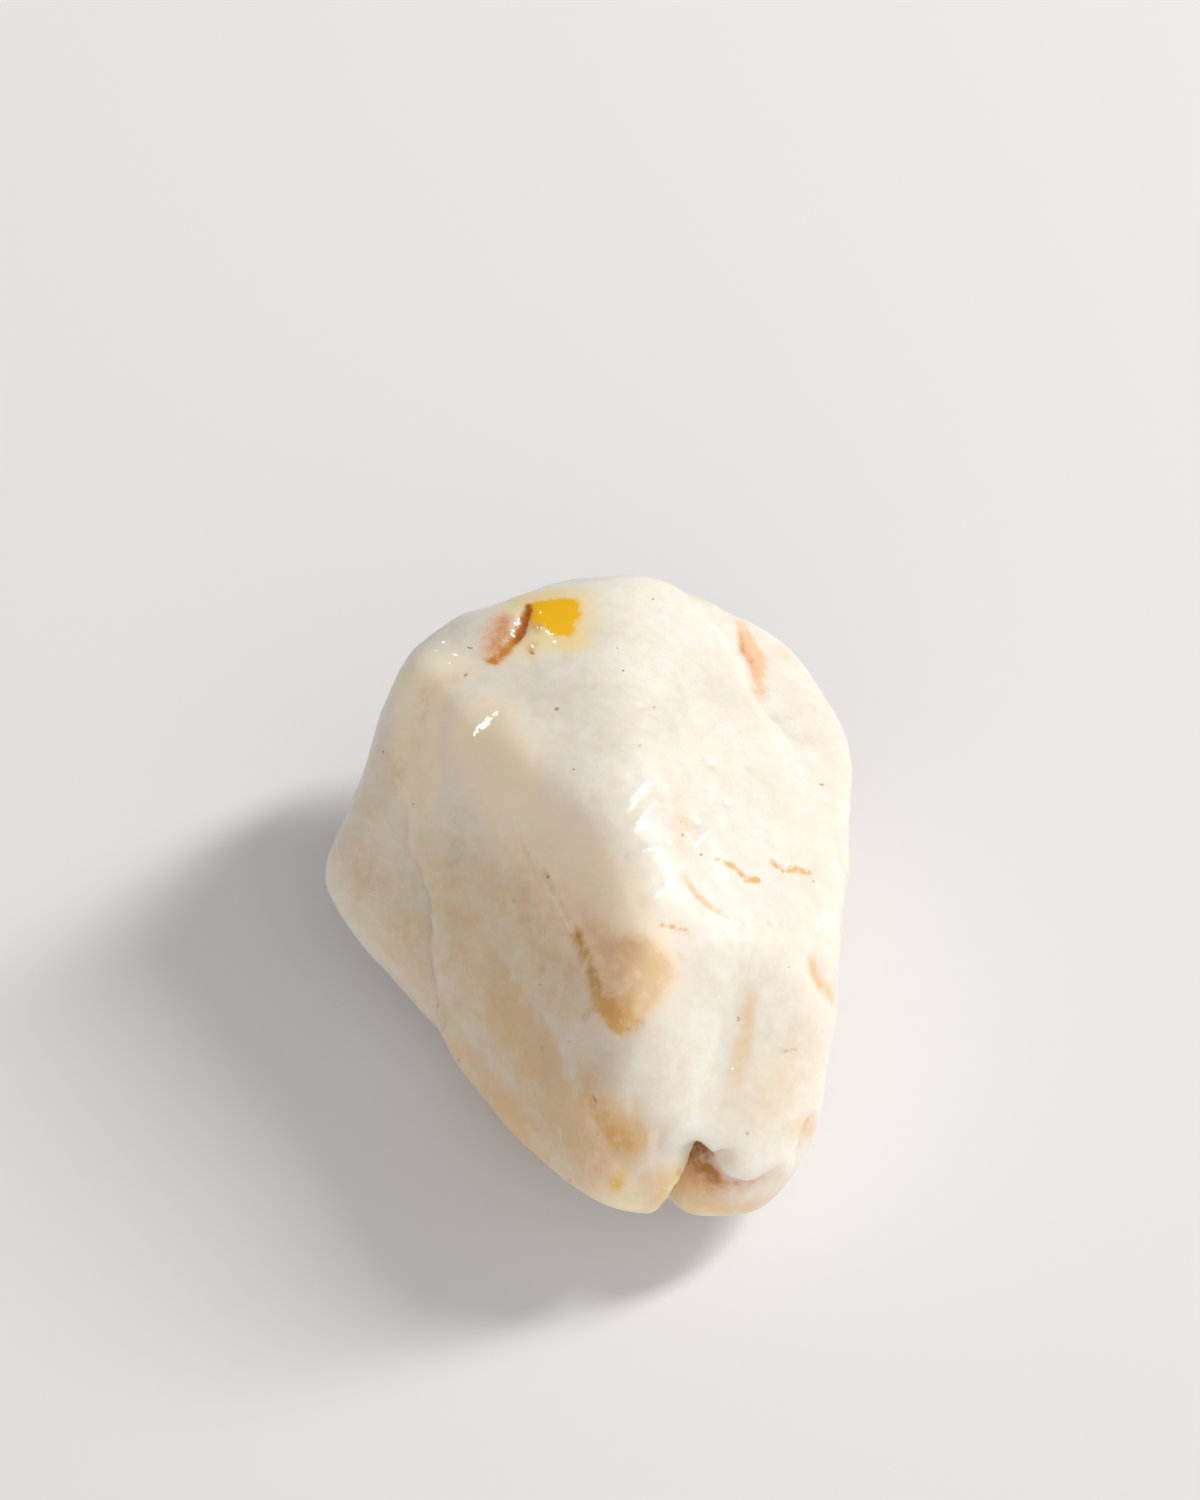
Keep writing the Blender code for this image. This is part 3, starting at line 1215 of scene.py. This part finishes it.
pitting = bpy.data.node_groups.new("pitted skin", "GeometryNodeTree")
pitting.interface.new_socket("Geometry", in_out="OUTPUT", socket_type="NodeSocketGeometry")
pit_inputs = {
    name: pitting.interface.new_socket(name, in_out="INPUT", socket_type=kind).identifier
    for name, kind in (
        ("Geometry", "NodeSocketGeometry"), ("Crowding", "NodeSocketFloat"), ("Radius", "NodeSocketFloat"),
        ("Depth", "NodeSocketFloat"), ("Margin", "NodeSocketFloat"), ("Seed", "NodeSocketInt"),
        ("Skin", "NodeSocketMaterial"),
    )
}
asked = pitting.nodes.new("NodeGroupInput").outputs
point = new_node(pitting, "GeometryNodeInputPosition").outputs[0]
strewn = new_node(
    pitting, "GeometryNodeDistributePointsOnFaces",
    Mesh=asked["Geometry"], Density=asked["Crowding"], Seed=asked["Seed"],
).outputs["Points"]
nearest = new_node(
    pitting, "GeometryNodeSampleNearest", Geometry=strewn, Sample_Position=point,
).outputs["Index"]
centre = pitting.nodes.new("GeometryNodeSampleIndex")
centre.data_type = "FLOAT_VECTOR"
for start, end in (
    (strewn, centre.inputs["Geometry"]), (point, centre.inputs["Value"]), (nearest, centre.inputs["Index"]),
):
    pitting.links.new(start, end)
away = new_node(pitting, "ShaderNodeVectorMath", "DISTANCE", _0=point, _1=centre.outputs[0])
sizes = pitting.nodes.new("FunctionNodeRandomValue")
sizes.data_type = "FLOAT"
# The third and fourth inputs of a random value are the least and the most of a plain number.
sizes.inputs[2].default_value = PIT_SMALLEST
sizes.inputs[3].default_value = 1.0
pitting.links.new(nearest, sizes.inputs["ID"])
pitting.links.new(asked["Seed"], sizes.inputs["Seed"])
size = sizes.outputs[1]
reach = new_node(pitting, "ShaderNodeMath", "MULTIPLY", _0=asked["Radius"], _1=size)
bowl = new_node(
    pitting, "ShaderNodeMapRange",
    Value=away.outputs["Value"], From_Min=0.0, From_Max=reach.outputs[0], To_Min=1.0, To_Max=0.0,
)
bowl.interpolation_type = "SMOOTHSTEP"
height_above = new_node(pitting, "ShaderNodeSeparateXYZ", Vector=point).outputs["Z"]
above_sole = new_node(
    pitting, "ShaderNodeMapRange", Value=height_above, From_Min=0.0, From_Max=asked["Margin"],
)
deepest = new_node(pitting, "ShaderNodeMath", "MULTIPLY", _0=asked["Depth"], _1=size)
bowled = new_node(pitting, "ShaderNodeMath", "MULTIPLY", _0=deepest.outputs[0], _1=bowl.outputs[0])
kept = new_node(pitting, "ShaderNodeMath", "MULTIPLY", _0=bowled.outputs[0], _1=above_sole.outputs[0])
inward = new_node(pitting, "ShaderNodeMath", "MULTIPLY", _0=kept.outputs[0], _1=-1.0)
push = new_node(
    pitting, "ShaderNodeVectorMath", "SCALE",
    _0=new_node(pitting, "GeometryNodeInputNormal").outputs[0], Scale=inward.outputs[0],
)
pressed = new_node(
    pitting, "GeometryNodeSetPosition", Geometry=asked["Geometry"], Offset=push.outputs[0],
)
whole = new_node(pitting, "GeometryNodeRealizeInstances", Geometry=pressed.outputs[0])
dressed = new_node(
    pitting, "GeometryNodeSetMaterial", Geometry=whole.outputs[0], Material=asked["Skin"],
)
pitting.links.new(dressed.outputs[0], pitting.nodes.new("NodeGroupOutput").inputs["Geometry"])

pits = stone.modifiers.new("pits", "NODES")
pits.node_group = pitting
for name, value in (
    ("Crowding", PIT_CROWDING / MM**2), ("Radius", PIT_RADIUS * MM), ("Depth", PIT_DEPTH * MM),
    ("Margin", PIT_MARGIN * MM), ("Seed", PIT_SEED), ("Skin", milk),
):
    pits[pit_inputs[name]] = value
evaluated = stone.evaluated_get(bpy.context.evaluated_depsgraph_get())
stone.data = bpy.data.meshes.new_from_object(evaluated)
stone.modifiers.clear()
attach(stone, "root")
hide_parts("opal")
